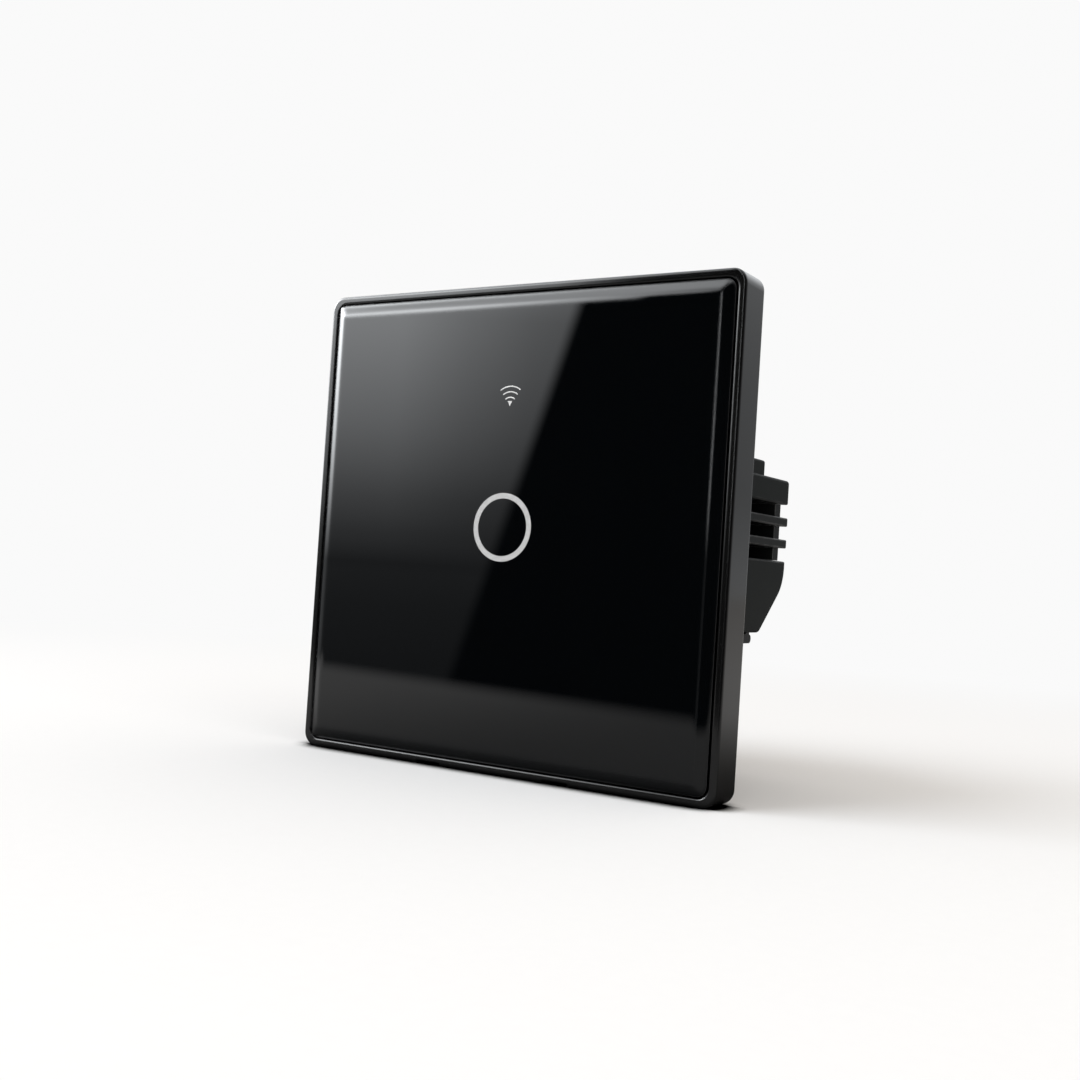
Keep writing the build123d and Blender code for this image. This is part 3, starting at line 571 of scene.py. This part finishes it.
def make_floor():
    """Pale floor that keeps the shadow and turns into the backdrop further out. Close to the object its
    colour is darkened by ambient occlusion, a painted contact shadow. Mirrored, it looks darker, a painted
    darker reflection with painted shade close behind the object, and it ends about 12 cm in front of the
    glass, as the photograph's reflection shows."""
    floor = link("floor", flat_mesh("floor", square(floor_side / 2, floor_side / 2)))
    floor.location.z = cad_box[0].z
    finish = Finish("floor")
    x, y, _ = finish.split(finish.place())
    reach = finish.math("SQRT", x * x + y * y)
    camera = finish.add("ShaderNodeLightPath", output="Is Camera Ray")
    glossy = finish.add("ShaderNodeLightPath", output="Is Glossy Ray")
    grain = finish.noise(2 * MM, 3.0)
    # painted contact shadow: ambient occlusion darkens the floor's colour, less so in reflections
    contact = finish.add("ShaderNodeAmbientOcclusion", {"samples": 8}, {"Distance": contact_reach}, "AO")
    behind = finish.step(y, *behind_span)
    # painted reflection: to glossy rays the floor's colour is darker, and darker still close behind the
    # object
    mirrored = mirrored_left - mirrored_drop * finish.step(x, *mirrored_drop_span)
    mirrored_behind = finish.curve(reach, *mirrored_behind_stops)
    mirrored = behind * mirrored_behind + (1 - behind) * mirrored
    start, end = [
        plain + (mirror - plain) * glossy for plain, mirror in zip(contact_span, contact_span_mirrored)
    ]
    open_air = finish.step(contact, start, end)
    shade = open_air * (1 - glossy * (1 - mirrored))
    paper = finish.mix(grey(floor_grey), grey(floor_grey * 1.02), grain)
    paper = finish.mix(grey(0.0), paper, shade)
    matte = finish.add("ShaderNodeBsdfDiffuse", None, {"Color": paper})
    white = finish.add("ShaderNodeEmission", None, {"Color": (*grey(backdrop_white), 1)})
    clear = finish.add("ShaderNodeBsdfTransparent")
    away = finish.step(reach, floor_fade_start, floor_fade_end) * camera
    ahead = finish.step(x * mirrored_end_slope - y, *mirrored_end_span)
    beyond = finish.math("MAXIMUM", ahead, finish.step(-1 * x, *mirrored_left_end_span)) * glossy
    shader = finish.add("ShaderNodeMixShader", None, {0: away, 1: matte, 2: white})
    shader = finish.add("ShaderNodeMixShader", None, {0: beyond, 1: shader, 2: clear})
    finish.add("ShaderNodeOutputMaterial", None, {"Surface": shader})
    floor.data.materials.append(finish.material)


def make_world():
    """White to the camera and an even soft light. What polished faces mirror is the surround instead."""
    world = bpy.data.worlds.new("studio")
    world.use_nodes = True
    bpy.context.scene.world = world
    world.cycles_visibility.glossy = False
    paint = Paint(world.node_tree)
    camera = paint.add("ShaderNodeLightPath", output="Is Camera Ray")
    through = paint.add("ShaderNodeLightPath", output="Is Transmission Ray")
    seen = paint.math("MAXIMUM", camera, through)
    tone = paint.mix(scaled(sky_tint, sky_level), grey(backdrop_white), seen)
    back = paint.add("ShaderNodeBackground", None, {"Color": tone})
    paint.add("ShaderNodeOutputWorld", None, {"Surface": back})


def heading(ray):
    """A direction's bearing from straight ahead of the glass, to the viewer's right, and its height."""
    return degrees(atan2(ray.x, -ray.y)), degrees(asin(ray.z))


def make_surround():
    """What polished faces mirror: a soft window ahead on the left that is brightest high up and ends on a
    slanting edge, a thin upright light, a grey backdrop behind, a dim ceiling, and a dark room between them.
    It gives no light to the object, only reflections."""
    shape = bmesh.new()
    bmesh.ops.create_icosphere(shape, subdivisions=4, radius=surround_r)
    mesh = bpy.data.meshes.new("surround")
    shape.to_mesh(mesh)
    shape.free()
    surround = link("surround", mesh)
    finish = Finish("surround")
    toward = finish.add("ShaderNodeVectorMath", {"operation": "NORMALIZE"}, {0: finish.place()})
    x, y, z = finish.split(toward)
    bearing = finish.math("ARCTAN2", x, -1 * y) * degrees(1)
    height = finish.math("ARCSINE", z) * degrees(1)
    (top_bearing, top_height), (low_bearing, low_height) = [
        heading(mirrored_ray(pixel)[1]) for pixel in (window_edge_top, window_edge_low)
    ]
    slant = (top_bearing - low_bearing) / (top_height - low_height)
    edge = low_bearing + slant * (height - low_height)
    inside = finish.step(edge - bearing, *window_soft_span)
    rise = finish.curve(height, *window_height_stops)
    across = finish.curve(bearing, *window_bearing_stops)
    low = finish.curve(height, *window_foot_stops)
    ceiling = ceiling_level * finish.step(height, *ceiling_span)
    backdrop = finish.step(y, *backdrop_span) * finish.curve(height, *backdrop_stops)
    strip = strip_level * finish.step(strip_half_w - abs(bearing - strip_bearing), *strip_soft_span)
    strip = strip * (strip_foot + (1 - strip_foot) * finish.step(height, *strip_foot_span))
    light = strip + inside * (rise * across + low) + finish.math("MAXIMUM", ceiling, backdrop) + room_level
    tinted = finish.add("ShaderNodeVectorMath", {"operation": "MULTIPLY"}, {0: light, 1: mirror_tint})
    glow = finish.add("ShaderNodeEmission", None, {"Color": tinted})
    finish.add("ShaderNodeOutputMaterial", None, {"Surface": glow})
    finish.material.cycles.emission_sampling = "NONE"
    mesh.materials.append(finish.material)
    for ray_kind in ("visible_camera", "visible_diffuse", "visible_shadow", "visible_transmission"):
        setattr(surround, ray_kind, False)


def aim(thing, place, target):
    thing.location = place
    thing.rotation_mode = "QUATERNION"
    thing.rotation_quaternion = (Vector(target) - Vector(place)).to_track_quat("-Z", "Y")


def make_lamp(name, place, target, side, power, colour=(1, 1, 1)):
    data = bpy.data.lights.new(name, "AREA")
    data.size = side
    data.energy = power
    data.color = colour
    lamp = link(name, data)
    aim(lamp, place, target)
    lamp.visible_camera = False
    lamp.visible_glossy = False


def make_studio():
    make_floor()
    make_world()
    make_surround()
    make_lamp("key", key_place, frame_middle, key_side, key_power, key_tint)
    make_lamp("fill", fill_place, frame_middle, fill_side, fill_power)
    bpy.context.scene.view_settings.view_transform = "Standard"


make_camera()
make_studio()
dress_nodes()
